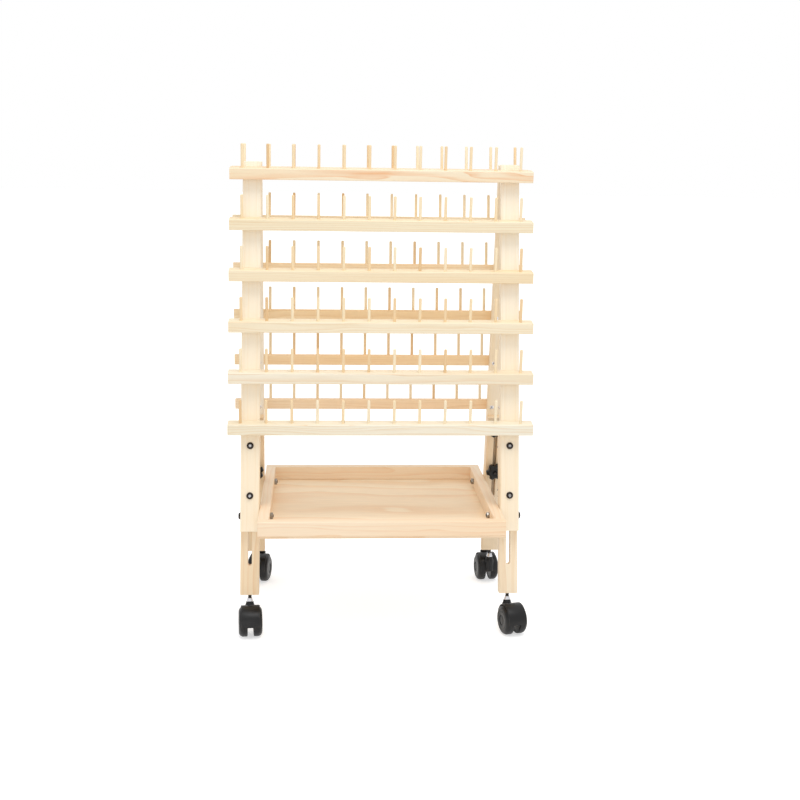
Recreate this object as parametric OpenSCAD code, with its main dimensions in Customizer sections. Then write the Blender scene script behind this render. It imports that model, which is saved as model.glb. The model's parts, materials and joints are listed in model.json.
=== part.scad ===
// Thread rack on casters: two hinged peg panels, a tray between them and height-adjustable legs
// Millimetres, +Z up. The origin is on the floor under the hinge line, midway between the posts.
// The front panel faces -Y. Each panel is drawn once in its own frame, where the origin is on
// the hinge pin, Z runs up the post and +Y points outwards from the stand.

/* [Panels] */
// Lean of each panel from the vertical, in degrees
lean = 10; // [8:0.25:11]
// Width of a post, across the stand
post_width = 32; // [28:1:38]
// Thickness of a post, and of a sliding leg
post_thickness = 16; // [14:1:20]
// Length of a post
post_length = 632; // [620:1:650]
// Height of a post's top above the hinge pin, along the post
post_rise = 12; // [8:1:16]
// Distance of a post's inner face from the hinge pin
hinge_gap = 3; // [3:0.1:4]
// Distance between the posts' inner edges
post_clear_width = 413; // [380:1:430]
// Eased corner of every wooden piece
eased_edge = 1; // [0.4:0.1:1.5]

/* [Rails] */
// Number of rails on a panel
rail_count = 6; // [3:1:6]
// Length of a rail
rail_length = 520; // [500:1:560]
// Depth of a rail along its top face
rail_depth = 25.5; // [24:0.5:30]
// Height of a rail's front face
rail_height = 19; // [16:1:22]
// Distance between two rails, along the post
rail_pitch = 86.8; // [70:0.1:88]
// Distance of the first rail's inner top edge below the top of the post
rail_drop = 8.5; // [4:0.5:12]
// Outward tilt of a rail's top face from level, in degrees
rail_tilt = 7; // [0:1:12]

/* [Pegs] */
// Number of pegs on a rail
peg_count = 12; // [6:1:12]
// Distance between two pegs
peg_pitch = 43.4; // [35:0.1:43.8]
// Diameter of a peg
peg_diameter = 5; // [4:0.5:6]
// Diameter of the peg's end that is glued into the rail
peg_tenon_diameter = 4.4; // [3:0.1:4.6]
// Length of a peg that stands out of the rail
peg_exposed = 41; // [30:1:55]
// Depth of a peg's hole
peg_embed = 13; // [8:1:14]
// Distance of the pegs from the rail's outer top edge
peg_setback = 10; // [8:0.5:12]

/* [Sliding legs] */
// Length of a sliding leg
leg_length = 273; // [268:1:300]
// Height of a sliding leg's top above the upper clamp bolt
leg_head = 19; // [16:1:24]
// Gap between a post and its sliding leg
leg_gap = 0.2; // [0.1:0.1:0.4]
// Width of the slot in a sliding leg
slot_width = 7; // [6.6:0.1:8]
// Length of the slot
slot_length = 209; // [180:1:215]
// Distance of the slot's upper end above the upper clamp bolt's centre
slot_head = 3.5; // [3.4:0.1:6]

/* [Tray] */
// Depth of the tray, front to back
tray_depth = 390; // [340:1:420]
// Thickness of the tray's boards
tray_board = 18; // [12:1:20]
// Height of the tray's boards
tray_height = 25; // [22:1:40]
// Thickness of the plywood floor
tray_floor_thickness = 3; // [2:0.5:6]
// Gap between the tray and each post
tray_gap = 0.3; // [0.2:0.1:1]
// Height of the tray bolts above the post's lower end, along the post
tray_bolt_rise = 26; // [20:0.5:30]

/* [Bolts and knobs] */
// Diameter of the clamp and tray bolts
bolt_diameter = 6; // [5:0.5:6]
// Clearance of a bolt in its hole, on the radius
bolt_clearance = 0.1; // [0.05:0.05:0.2]
// Diameter of a bolt's domed head
bolt_head_diameter = 12; // [11:0.5:16]
// Height of a bolt's domed head
bolt_head_height = 3.5; // [2.5:0.5:5]
// Height of the lower clamp bolt above the post's lower end, along the post
clamp_rise = 61; // [55:1:70]
// Distance between the two clamp bolts
clamp_pitch = 85; // [60:1:90]
// Diameter of the washers under the knobs
washer_diameter = 18; // [14:1:20]
// Thickness of the washers
washer_thickness = 1.5; // [1:0.1:2]
// Diameter of a star knob
knob_diameter = 32; // [26:1:32]
// Height of a star knob
knob_height = 14; // [10:1:18]
// Number of lobes on a star knob
knob_lobes = 6; // [5:1:8]
// Length of a clamp bolt that shows past its knob
bolt_tail = 2; // [1:0.5:4]
// Width of a tray nut across its flats
nut_width = 10; // [9:0.5:11]
// Height of a tray nut
nut_height = 5; // [4:0.5:7]

/* [Hinges] */
// Width of a hinge
hinge_width = 26; // [20:1:30]
// Length of a hinge leaf below the pin
leaf_length = 34; // [32:1:40]
// Thickness of a hinge leaf
leaf_thickness = 1.2; // [0.8:0.1:1.4]
// Diameter of a hinge pin
hinge_pin_diameter = 2.4; // [2:0.1:2.8]
// Diameter of a hinge knuckle
knuckle_diameter = 5.2; // [4.8:0.1:5.4]

/* [Wood screws] */
// Length of a rail screw
screw_length = 30; // [22:1:34]
// Diameter of a rail screw's shank
screw_diameter = 4; // [3:0.5:4.5]
// Length of a hinge screw
hinge_screw_length = 12; // [8:1:14]
// Diameter of a hinge screw's shank
hinge_screw_diameter = 2.6; // [2:0.1:3]
// Distance between the two screws that hold a rail to a post
screw_spacing = 16; // [12:1:18]

/* [Casters] */
// Diameter of a caster wheel
wheel_diameter = 50; // [40:1:54]
// Width of one wheel
wheel_width = 14.5; // [12:0.5:16]
// Distance between the two wheels of a caster
wheel_spread = 10.6; // [9:0.1:14]
// Distance of the axle behind the stem
caster_trail = 24; // [20:1:26]
// Height of the underside of the sliding leg above the floor
caster_height = 67; // [64:1:75]
// Diameter of the stem that enters the leg
stem_diameter = 6; // [5:0.5:7]
// Depth of the stem in the leg
stem_grip = 28; // [20:1:35]
// Thickness of the hood's shell
hood_wall = 1.6; // [1.2:0.1:3]
// Half the width of the hood's shell
hood_half_width = 16; // [14:0.5:17]
// Swivel of the front left caster, in degrees from straight back
swivel_front_left = -175; // [-180:1:180]
// Swivel of the front right caster
swivel_front_right = -165; // [-180:1:180]
// Swivel of the back left caster
swivel_back_left = -12; // [-180:1:180]
// Swivel of the back right caster
swivel_back_right = 7; // [-180:1:180]

/* [Hidden] */
$fn = 64;
SIDES = ["front", "back"];
HANDS = ["left", "right"];
LEVELS = ["upper", "lower"];

// Pine, metal and plastic colours
PINE = [0.94, 0.84, 0.66];
PINE_PALE = [0.95, 0.88, 0.74];
DOWEL = [0.88, 0.74, 0.53];
PLYWOOD = [0.90, 0.75, 0.52];
STEEL = [0.75, 0.76, 0.78];
BLACK_METAL = [0.13, 0.13, 0.14];
BLACK_PLASTIC = [0.09, 0.09, 0.10];

// Fits that are the same all over the stand
running_fit = 0.05;
screw_fit = 0.05;
cut = 1;

// Posts and sliding legs
post_x = (post_clear_width + post_width) / 2;
post_outer = hinge_gap + post_thickness;
post_foot = post_rise - post_length;
clamp_low = post_foot + clamp_rise;
clamp_high = clamp_low + clamp_pitch;
leg_inner = hinge_gap - leg_gap - post_thickness;
leg_middle = leg_inner + post_thickness / 2;
leg_top = clamp_high + leg_head;
leg_foot = leg_top - leg_length;
slot_top = clamp_high + slot_head;
foot_cut = 3 * post_thickness;
hinge_height = caster_height - leg_middle * sin(lean) - leg_foot * cos(lean);

// Rails and pegs
rail_slope = lean + rail_tilt;
rail_first = post_rise - rail_drop;
peg_inset = rail_depth - peg_setback;
peg_chamfer = 0.6;
rail_back_height = rail_height / cos(rail_slope);
rail_screw_drop = rail_back_height / 2;

// Tray, in the stand's frame
tray_bolt_level = post_foot + tray_bolt_rise;
tray_bolt_inset = hinge_gap + post_thickness / 2;
tray_bolt_y = tray_bolt_inset * cos(lean) - tray_bolt_level * sin(lean);
tray_bolt_z = hinge_height + tray_bolt_inset * sin(lean) + tray_bolt_level * cos(lean);
tray_width = post_clear_width - 2 * tray_gap;
tray_base = tray_bolt_z - tray_height / 2;
tray_bolt_reach = tray_board + nut_height + 1;

// Bolts, washers and knobs, along the panel's Y
washer_face = leg_inner - washer_thickness;
knob_face = washer_face - knob_height;
bolt_end = knob_face - bolt_tail;
knob_neck = knob_height * 0.3;
knob_neck_share = 0.55;
knob_scallop_share = 0.36;
knob_scallop_place = 1.14;

// Hinges
leaf_face = hinge_gap - leaf_thickness;
knuckle_gap = 0.2;
leaf_clear = knuckle_diameter / 2 + 0.4;
hinge_screw_drops = [leaf_length / 2, leaf_length / 2, leaf_length - 6];
hinge_screw_offsets = [-8.5, 8.5, 0];

// Casters
wheel_radius = wheel_diameter / 2;
axle_radius = 2.5;
axle_boss = 7;
hood_gap = 0.8;
hood_inner = wheel_radius + hood_gap;
hood_outer = hood_inner + hood_wall;
web_half_width = wheel_spread / 2 - 0.8;
hood_top = wheel_radius + hood_outer;
hood_lip = wheel_radius - 2;
socket_radius = 8.5;
socket_shoulder = hood_top - 8;
collar_radius = 5.7;
collar_base = hood_top + 0.3;
collar_height = 6.3;
pivot_depth = 20;
pivot_gap = 0.3;
shoulder_round = wheel_width / 2;
hub_radius = 9;
stem_bottom = hood_top - pivot_depth;
stem_mid = caster_height + stem_grip / 2;
stem_y = (hinge_height - stem_mid + leg_middle * sin(lean)) * tan(lean) + leg_middle * cos(lean);
lever_angle = 58;
lever_radius = hood_outer + 2.6;
ear_reach = lever_radius - hood_outer + 1;
lever_width = 10;
lever_thickness = 2.4;
lever_length = 13;
lever_tilt = 20;
lever_gap = 0.2;
lever_pin_radius = 1.5;
ear_thickness = 2;
ear_radius = 3;

function hand_sign(hand) = hand == "left" ? -1 : 1;
function rail_level(row) = rail_first - rail_pitch * (row - 1);
function peg_x(i) = (i - (peg_count - 1) / 2) * peg_pitch;
function swivel(side, hand) =
    side == "front" ? (hand == "left" ? swivel_front_left : swivel_front_right)
                    : (hand == "left" ? swivel_back_left : swivel_back_right);

// Corners of an outline, each cut back by e along both of its edges
function eased(points, e) = [
    for (i = [0:len(points) - 1])
        let (b = points[i],
             a = points[(i + len(points) - 1) % len(points)],
             c = points[(i + 1) % len(points)])
        each [b + e * (a - b) / norm(a - b), b + e * (c - b) / norm(c - b)]
];

function box_outline(x0, x1, y0, y1) = [[x0, y0], [x1, y0], [x1, y1], [x0, y1]];

// Frame of one panel: the back one leans back, and the front one is its mirror image
module panel(side) {
    mirror([0, side == "front" ? 1 : 0, 0])
        translate([0, 0, hinge_height])
            rotate([lean, 0, 0])
                children();
}

// Frame of one caster: origin on the floor under the stem, wheels trailing along +Y
module caster(side, hand) {
    translate([hand_sign(hand) * post_x, (side == "front" ? -1 : 1) * stem_y, 0])
        rotate([0, 0, swivel(side, hand)])
            children();
}

// Turns a shape drawn along +Z so that it runs along the panel's +Y
module along_y() {
    rotate([-90, 0, 0]) children();
}

// Turns a shape drawn along +Z so that it runs along +X
module along_x() {
    rotate([0, 90, 0]) children();
}

// A straight board of rectangular section with eased long edges, standing on z
module board_upright(x0, x1, y0, y1, z0, z1) {
    translate([0, 0, z0])
        linear_extrude(z1 - z0) polygon(eased(box_outline(x0, x1, y0, y1), eased_edge));
}

// A board lying along X: its section is given in Y and Z
module board_along_x(x0, x1, y0, y1, z0, z1) {
    translate([x0, 0, 0])
        rotate([90, 0, 90])
            linear_extrude(x1 - x0) polygon(eased(box_outline(y0, y1, z0, z1), eased_edge));
}

// A board lying along Y: its section is given in X and Z
module board_along_y(x0, x1, y0, y1, z0, z1) {
    translate([0, y1, 0])
        rotate([90, 0, 0])
            linear_extrude(y1 - y0) polygon(eased(box_outline(x0, x1, z0, z1), eased_edge));
}

// A countersunk wood screw along +Z with its head flush at z = 0, widened by grow for its hole
module wood_screw(diameter, length, grow = 0) {
    r = diameter / 2 + grow;
    head = diameter * 0.95 + grow;
    head_depth = diameter * 0.6;
    point = diameter;
    rotate_extrude() polygon([
        [0, 0],
        [head, 0],
        [r, head_depth],
        [r, length - point],
        [0.3 + grow, length + grow],
        [0, length + grow],
    ]);
}

// Places of a rail's screws on one post, on the post's inner face
module at_rail_screws(row, hand) {
    for (offset = [-1, 1])
        translate([
            hand_sign(hand) * post_x + offset * screw_spacing / 2,
            hinge_gap,
            rail_level(row) - rail_screw_drop,
        ])
            along_y() children();
}

// Places of a hinge leaf's screws on one post
module at_hinge_screws(hand) {
    for (i = [0:len(hinge_screw_offsets) - 1])
        translate([
            hand_sign(hand) * post_x + hinge_screw_offsets[i],
            leaf_face,
            -hinge_screw_drops[i],
        ])
            along_y() children();
}

module at_clamp_bolts(hand) {
    for (level = [clamp_low, clamp_high])
        translate([hand_sign(hand) * post_x, 0, level]) children();
}

module post(side, hand) {
    x = hand_sign(hand) * post_x;
    hole = bolt_diameter / 2 + bolt_clearance;
    color(PINE_PALE) panel(side) difference() {
        board_upright(x - post_width / 2, x + post_width / 2, hinge_gap, post_outer,
                      post_foot, post_rise);
        for (row = [1:rail_count])
            at_rail_screws(row, hand) wood_screw(screw_diameter, screw_length, screw_fit);
        at_hinge_screws(hand) wood_screw(hinge_screw_diameter, hinge_screw_length, screw_fit);
        at_clamp_bolts(hand)
            translate([0, hinge_gap - cut, 0])
                along_y() cylinder(r = hole, h = post_thickness + 2 * cut);
        translate([x - post_width / 2 - cut, tray_bolt_inset, tray_bolt_level])
            along_x() cylinder(r = hole, h = post_width + 2 * cut);
    }
}

// Outline of a rail's section, from its inner top edge, with the back cut to lie on the post
function rail_outline() =
    let (out = [rail_depth * cos(rail_slope), -rail_depth * sin(rail_slope)],
         down = [-rail_height * sin(rail_slope), -rail_height * cos(rail_slope)])
    eased([[0, 0], [0, -rail_back_height], out + down, out], eased_edge);

// Places of a row's pegs, with +Z along the peg from the rail's top face
module at_pegs(row) {
    for (i = [0:peg_count - 1])
        translate([
            peg_x(i),
            post_outer + peg_inset * cos(rail_slope),
            rail_level(row) - peg_inset * sin(rail_slope),
        ])
            rotate([-rail_slope, 0, 0]) children();
}

module peg_hole() {
    translate([0, 0, -peg_embed])
        cylinder(r = peg_tenon_diameter / 2 + running_fit, h = peg_embed + cut);
}

module rail(side, row) {
    color(PINE) panel(side) difference() {
        translate([-rail_length / 2, post_outer, rail_level(row)])
            rotate([90, 0, 90]) linear_extrude(rail_length) polygon(rail_outline());
        at_pegs(row) peg_hole();
        for (hand = HANDS)
            at_rail_screws(row, hand) wood_screw(screw_diameter, screw_length, screw_fit);
    }
}

// A peg along +Z: a thinner end in its hole, a shoulder on the rail and a chamfered tip
module peg() {
    r = peg_diameter / 2;
    tenon = peg_tenon_diameter / 2;
    rotate_extrude() polygon([
        [0, -peg_embed],
        [tenon, -peg_embed],
        [tenon, 0],
        [r, 0],
        [r, peg_exposed - peg_chamfer],
        [r - peg_chamfer, peg_exposed],
        [0, peg_exposed],
    ]);
}

module pegs(side) {
    color(DOWEL) panel(side) for (row = [1:rail_count]) at_pegs(row) peg();
}

// The front and back boards run the full width, and cover the ends of the side boards
module tray_cross_board(side) {
    y = (side == "front" ? -1 : 1) * tray_depth / 2;
    inner = y - sign(y) * tray_board;
    color(PINE_PALE)
        board_along_x(-tray_width / 2, tray_width / 2, min(y, inner), max(y, inner),
                      tray_base, tray_base + tray_height);
}

module tray_side_board(hand) {
    x = hand_sign(hand) * tray_width / 2;
    inner = x - hand_sign(hand) * tray_board;
    reach = tray_depth / 2 - tray_board;
    color(PINE_PALE) difference() {
        board_along_y(min(x, inner), max(x, inner), -reach, reach,
                      tray_base, tray_base + tray_height);
        for (y = [-tray_bolt_y, tray_bolt_y])
            translate([min(x, inner) - cut, y, tray_bolt_z])
                along_x()
                    cylinder(r = bolt_diameter / 2 + bolt_clearance, h = tray_board + 2 * cut);
    }
}

module tray_floor() {
    color(PLYWOOD)
        translate([-tray_width / 2, -tray_depth / 2, tray_base - tray_floor_thickness])
            cube([tray_width, tray_depth, tray_floor_thickness]);
}

// A bolt along +Z: a domed head standing below z = 0 and a shank up to the given length
module bolt(length) {
    dome = (pow(bolt_head_diameter / 2, 2) + pow(bolt_head_height, 2)) / (2 * bolt_head_height);
    cylinder(d = bolt_diameter, h = length);
    intersection() {
        translate([0, 0, dome - bolt_head_height]) sphere(r = dome);
        translate([0, 0, -bolt_head_height]) cylinder(d = bolt_head_diameter, h = bolt_head_height);
    }
}

module washer() {
    difference() {
        cylinder(d = washer_diameter, h = washer_thickness);
        translate([0, 0, -cut])
            cylinder(r = bolt_diameter / 2 + bolt_clearance, h = washer_thickness + 2 * cut);
    }
}

// Clamp bolts with their washers, and the tray bolts. The front tray bolts pass through the
// tray's sides to their nuts, and the back ones end at the post, where the stand is opened to fold.
module bolts(side) {
    tray_shank = side == "front"
        ? post_width + tray_gap + tray_bolt_reach
        : post_width;
    color(BLACK_METAL) panel(side) for (hand = HANDS) {
        at_clamp_bolts(hand) {
            translate([0, post_outer, 0]) rotate([90, 0, 0]) bolt(post_outer - bolt_end);
            translate([0, washer_face, 0]) along_y() washer();
        }
        translate([hand_sign(hand) * (post_x + post_width / 2), tray_bolt_inset, tray_bolt_level])
            rotate([0, -90 * hand_sign(hand), 0]) bolt(tray_shank);
    }
}

module nut(bore) {
    difference() {
        cylinder(r = nut_width / 2 / cos(30), h = nut_height, $fn = 6);
        translate([0, 0, -cut]) cylinder(r = bore, h = nut_height + 2 * cut);
    }
}

// The tray's nuts. Each back nut carries the inner end of its bolt, which the stand's opened
// joint parts from the rest of the bolt at the tray's side.
module tray_nuts() {
    color(STEEL) for (hand = HANDS) for (y = [-tray_bolt_y, tray_bolt_y]) {
        translate([hand_sign(hand) * (tray_width / 2 - tray_board), y, tray_bolt_z])
            rotate([0, -90 * hand_sign(hand), 0]) nut(bolt_diameter / 2 + running_fit);
        if (y > 0) translate([hand_sign(hand) * tray_width / 2, y, tray_bolt_z])
            rotate([0, -90 * hand_sign(hand), 0]) cylinder(d = bolt_diameter, h = tray_bolt_reach);
    }
}

// Spans of the hinge knuckles along X, from the middle of the hinge: two outer, one middle
function knuckle_spans(side) =
    side == "front"
        ? [[-hinge_width / 2, -hinge_width / 6 - knuckle_gap / 2],
           [hinge_width / 6 + knuckle_gap / 2, hinge_width / 2]]
        : [[-hinge_width / 6 + knuckle_gap / 2, hinge_width / 6 - knuckle_gap / 2]];

module hinge_leaf(side) {
    bore = hinge_pin_diameter / 2 + running_fit;
    difference() {
        union() {
            translate([-hinge_width / 2, leaf_face, -leaf_length])
                cube([hinge_width, leaf_thickness, leaf_length - leaf_clear]);
            for (span = knuckle_spans(side)) {
                translate([span[0], leaf_face, -leaf_clear - cut])
                    cube([span[1] - span[0], leaf_thickness, leaf_clear + cut]);
                translate([span[0], 0, 0])
                    along_x() cylinder(d = knuckle_diameter, h = span[1] - span[0]);
            }
        }
        translate([-hinge_width / 2 - cut, 0, 0])
            along_x() cylinder(r = bore, h = hinge_width + 2 * cut);
    }
}

// The hinge leaves of one panel. The pins stay with the front ones.
module hinge_leaves(side) {
    color(STEEL) panel(side) for (hand = HANDS) {
        difference() {
            translate([hand_sign(hand) * post_x, 0, 0]) hinge_leaf(side);
            at_hinge_screws(hand) wood_screw(hinge_screw_diameter, hinge_screw_length, screw_fit);
        }
        if (side == "front")
            translate([hand_sign(hand) * post_x - hinge_width / 2, 0, 0])
                along_x() cylinder(d = hinge_pin_diameter, h = hinge_width);
    }
}

module screws(side) {
    color(STEEL) panel(side) for (hand = HANDS) {
        for (row = [1:rail_count])
            at_rail_screws(row, hand) wood_screw(screw_diameter, screw_length);
        at_hinge_screws(hand) wood_screw(hinge_screw_diameter, hinge_screw_length);
    }
}

// A slotted leg on the inner side of its post, cut level above the floor for its caster
module sliding_leg(side, hand) {
    x = hand_sign(hand) * post_x;
    slot_bottom = slot_top - slot_length;
    y_sign = side == "front" ? -1 : 1;
    color(PINE_PALE) difference() {
        panel(side) difference() {
            board_upright(x - post_width / 2, x + post_width / 2, leg_inner,
                          leg_inner + post_thickness, leg_foot - post_thickness, leg_top);
            translate([x, leg_inner - cut, 0]) along_y() linear_extrude(post_thickness + 2 * cut) {
                translate([0, -slot_top + slot_width / 2]) circle(d = slot_width);
                translate([0, -slot_bottom - slot_width / 2]) circle(d = slot_width);
                translate([-slot_width / 2, -slot_top + slot_width / 2])
                    square([slot_width, slot_length - slot_width]);
            }
        }
        translate([x - post_width, y_sign * stem_y - foot_cut / 2, caster_height - foot_cut])
            cube([2 * post_width, foot_cut, foot_cut]);
        translate([x, y_sign * stem_y, caster_height - cut])
            cylinder(r = stem_diameter / 2 + running_fit, h = stem_grip + cut + 1);
    }
}

// A star knob along +Z, with its neck at z = 0
module star_knob() {
    r = knob_diameter / 2;
    neck = r * knob_neck_share;
    difference() {
        rotate_extrude() polygon([
            [0, 0],
            [neck, 0],
            [neck, knob_neck],
            [r - 1.5, knob_neck],
            [r, knob_neck + 1.5],
            [r, knob_height - 3],
            [r - 2.5, knob_height - 0.6],
            [neck, knob_height],
            [0, knob_height],
        ]);
        for (i = [0:knob_lobes - 1])
            rotate([0, 0, (i + 0.5) * 360 / knob_lobes])
                translate([r * knob_scallop_place, 0, -cut])
                    cylinder(r = r * knob_scallop_share, h = knob_height + 2 * cut);
        translate([0, 0, -cut])
            cylinder(r = bolt_diameter / 2 + running_fit, h = knob_height + 2 * cut);
    }
}

module knob(side, hand, level) {
    color(BLACK_PLASTIC) panel(side)
        translate([
            hand_sign(hand) * post_x,
            washer_face,
            level == "upper" ? clamp_high : clamp_low,
        ])
            rotate([90, 0, 0]) star_knob();
}

// The metal stem: a plain end in the leg, a coned collar under it and a pivot in the hood
module caster_stem(side, hand) {
    r = stem_diameter / 2;
    color(STEEL) caster(side, hand) rotate_extrude() polygon([
        [0, stem_bottom],
        [r, stem_bottom],
        [r, collar_base],
        [collar_radius, collar_base],
        [collar_radius, collar_base + 1],
        [r + 0.8, collar_base + collar_height],
        [r, collar_base + collar_height],
        [r, caster_height + stem_grip - 1],
        [r - 1, caster_height + stem_grip],
        [0, caster_height + stem_grip],
    ]);
}

module at_axle() {
    translate([0, caster_trail, wheel_radius]) children();
}

// A round bar along X, centred on x = 0
module crossbar(r, half) {
    translate([-half, 0, 0]) along_x() cylinder(r = r, h = 2 * half);
}

module at_lever_pivot() {
    at_axle()
        translate([0, lever_radius * cos(lever_angle), lever_radius * sin(lever_angle)])
            children();
}

// Space swept by the two wheels, with their running gap
module wheel_space() {
    at_axle() difference() {
        crossbar(hood_inner, hood_half_width + cut);
        crossbar(hood_inner + cut, web_half_width);
    }
}

// The hood: a half shell over both wheels, a web between them that holds the axle, and the
// stem's socket. The axle is a separate steel pin.
module caster_hood(side, hand) {
    ear_x = lever_width / 2 + lever_gap;
    caster(side, hand) {
        color(BLACK_PLASTIC) difference() {
            union() {
                difference() {
                    union() {
                        at_axle() crossbar(hood_outer, hood_half_width);
                        translate([0, 0, wheel_radius])
                            cylinder(r = socket_radius, h = socket_shoulder - wheel_radius);
                        translate([0, 0, socket_shoulder])
                            cylinder(r1 = socket_radius, r2 = collar_radius,
                                     h = hood_top - socket_shoulder);
                        translate([-web_half_width, 0, wheel_radius - socket_radius])
                            cube([2 * web_half_width, caster_trail,
                                  socket_shoulder - wheel_radius]);
                    }
                    wheel_space();
                    translate([-hood_half_width - cut, -hood_outer, -wheel_radius])
                        cube([2 * (hood_half_width + cut), caster_trail + 3 * hood_outer,
                              wheel_radius + hood_lip]);
                }
                at_axle() crossbar(axle_boss, web_half_width);
                if (side == "back") for (s = [-1, 1])
                    at_lever_pivot()
                        translate([s * (ear_x + ear_thickness / 2), 0, 0])
                            rotate([lever_angle - 90, 0, 0]) {
                                crossbar(ear_radius, ear_thickness / 2);
                                translate([-ear_thickness / 2, -ear_radius, -ear_reach])
                                    cube([ear_thickness, 2 * ear_radius, ear_reach]);
                            }
            }
            translate([0, 0, stem_bottom - pivot_gap])
                cylinder(r = stem_diameter / 2 + running_fit, h = hood_top);
            at_axle() crossbar(axle_radius + running_fit, hood_half_width + cut);
            if (side == "back")
                at_lever_pivot() crossbar(lever_pin_radius + running_fit, lever_width);
        }
        color(STEEL) at_axle() crossbar(axle_radius, wheel_spread / 2 + wheel_width - 2);
    }
}

// A wheel drawn along +Z from its inner face: tread, a round outer shoulder and a sunk hub
module wheel() {
    bore = axle_radius + running_fit;
    face = wheel_radius - shoulder_round;
    rotate_extrude() difference() {
        union() {
            polygon([
                [bore, 0],
                [wheel_radius - 1.5, 0],
                [wheel_radius, 1.5],
                [wheel_radius, wheel_width - shoulder_round],
                [bore, wheel_width - shoulder_round],
            ]);
            translate([bore, 0]) square([face - bore, wheel_width]);
            translate([face, wheel_width - shoulder_round]) circle(r = shoulder_round);
        }
        translate([0, wheel_width - 1.5]) square([hub_radius, 2 * cut + 1.5]);
        translate([0, -shoulder_round]) square([wheel_radius, shoulder_round]);
    }
}

module caster_wheel(side, hand, number) {
    s = number == 1 ? -1 : 1;
    color(BLACK_PLASTIC) caster(side, hand) at_axle()
        translate([s * wheel_spread / 2, 0, 0]) rotate([0, 90 * s, 0]) wheel();
}

// A foot lever that pivots between the ears on a braked caster's hood, shown up, off the wheels
module brake_lever(hand) {
    color(BLACK_PLASTIC) caster("back", hand) at_lever_pivot() {
        translate([-lever_width / 2, 0, 0]) rotate([90, 0, 90]) linear_extrude(lever_width) {
            circle(r = lever_thickness);
            rotate(-lever_tilt)
                translate([-lever_thickness / 2, 0]) square([lever_thickness, lever_length]);
        }
        crossbar(lever_pin_radius, lever_width / 2 + ear_thickness);
    }
}

post("front", "left");  // post_front_left
post("front", "right");  // post_front_right
post("back", "left");  // post_back_left
post("back", "right");  // post_back_right
for (side = SIDES) {
    for (row = [1:rail_count])
        rail(side, row);
    pegs(side);
}
tray_cross_board("front");  // tray_front_board
tray_cross_board("back");  // tray_back_board
tray_side_board("left");  // tray_left_board
tray_side_board("right");  // tray_right_board
tray_floor();
tray_nuts();
for (side = SIDES) {
    bolts(side);
    hinge_leaves(side);
    screws(side);
    for (hand = HANDS) {
        sliding_leg(side, hand);
        for (level = LEVELS)
            knob(side, hand, level);
        caster_stem(side, hand);
        caster_hood(side, hand);
        for (number = [1, 2])
            caster_wheel(side, hand, number);
    }
}
for (hand = HANDS)
    brake_lever(hand);
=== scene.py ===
"""A thread rack on casters: pine posts and rails, turned pegs, a tray, and clamped sliding legs."""
import json
import math
import random

import bmesh
import bpy
from mathutils import Matrix, Vector


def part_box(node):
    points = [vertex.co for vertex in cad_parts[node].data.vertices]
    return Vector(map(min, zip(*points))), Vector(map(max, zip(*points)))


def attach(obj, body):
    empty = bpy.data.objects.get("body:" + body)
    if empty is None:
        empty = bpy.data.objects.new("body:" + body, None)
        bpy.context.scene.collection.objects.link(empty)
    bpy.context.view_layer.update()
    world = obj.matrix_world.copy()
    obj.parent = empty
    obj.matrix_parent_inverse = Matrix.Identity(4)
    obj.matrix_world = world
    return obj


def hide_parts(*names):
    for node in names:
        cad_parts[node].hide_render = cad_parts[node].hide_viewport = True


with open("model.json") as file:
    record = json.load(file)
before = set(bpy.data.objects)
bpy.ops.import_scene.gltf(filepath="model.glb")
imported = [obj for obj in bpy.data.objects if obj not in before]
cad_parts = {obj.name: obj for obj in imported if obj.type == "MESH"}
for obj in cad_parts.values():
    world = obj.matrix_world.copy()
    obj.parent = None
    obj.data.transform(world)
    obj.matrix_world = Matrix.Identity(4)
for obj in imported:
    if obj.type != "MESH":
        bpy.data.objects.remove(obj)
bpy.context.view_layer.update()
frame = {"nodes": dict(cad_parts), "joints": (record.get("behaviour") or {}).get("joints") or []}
nodes = frame["nodes"]
joints = {joint["name"]: joint for joint in frame["joints"]}
scene = bpy.context.scene


# Posts
# Four uprights of pale clear pine, planed square and eased along their edges. Each panel's pair
# leans ten degrees towards the other pair, and its grain runs straight up the post.
LEAN = math.radians(10)
POST_HALF_SPREAD = joints["swivel_back_right"]["pos_m"][0]
POST_EARLY = (252, 243, 226)
POST_LATE = (242, 217, 172)
LONG_EDGE = 0.007
SIDES = ("front", "back")
HANDS = {"left": -1, "right": 1}
chance = random.Random(11)


def colour(red, green, blue):
    """A colour given as it looks on a screen, 0 to 255, as the shader's linear values."""
    def linear(v):
        v /= 255
        return v / 12.92 if v <= 0.04045 else ((v + 0.055) / 1.055) ** 2.4
    return (linear(red), linear(green), linear(blue), 1.0)


def put(tree, kind, settings=None, inputs=None):
    """Adds a node to a tree. An input given as a socket is linked, and any other is set."""
    node = tree.nodes.new(kind)
    for key, value in (settings or {}).items():
        setattr(node, key, value)
    for key, value in (inputs or {}).items():
        if isinstance(value, bpy.types.NodeSocket):
            tree.links.new(value, node.inputs[key])
        else:
            node.inputs[key].default_value = value
    return node


def sums(tree, operation, *values):
    """One step of arithmetic on sockets and numbers."""
    return put(tree, "ShaderNodeMath", {"operation": operation}, dict(enumerate(values))).outputs[0]


def grade(tree, value, stops, interpolation="EASE"):
    """A ramp of greys or colours over a value: stops are (place, grey or colour)."""
    ramp = put(tree, "ShaderNodeValToRGB", inputs={0: value})
    ramp.color_ramp.interpolation = interpolation
    elements = ramp.color_ramp.elements
    while len(elements) < len(stops):
        elements.new(0.5)
    for element, (place, shade) in zip(elements, stops):
        element.position = place
        element.color = shade if isinstance(shade, tuple) else (shade, shade, shade, 1)
    return ramp.outputs[0]


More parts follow.
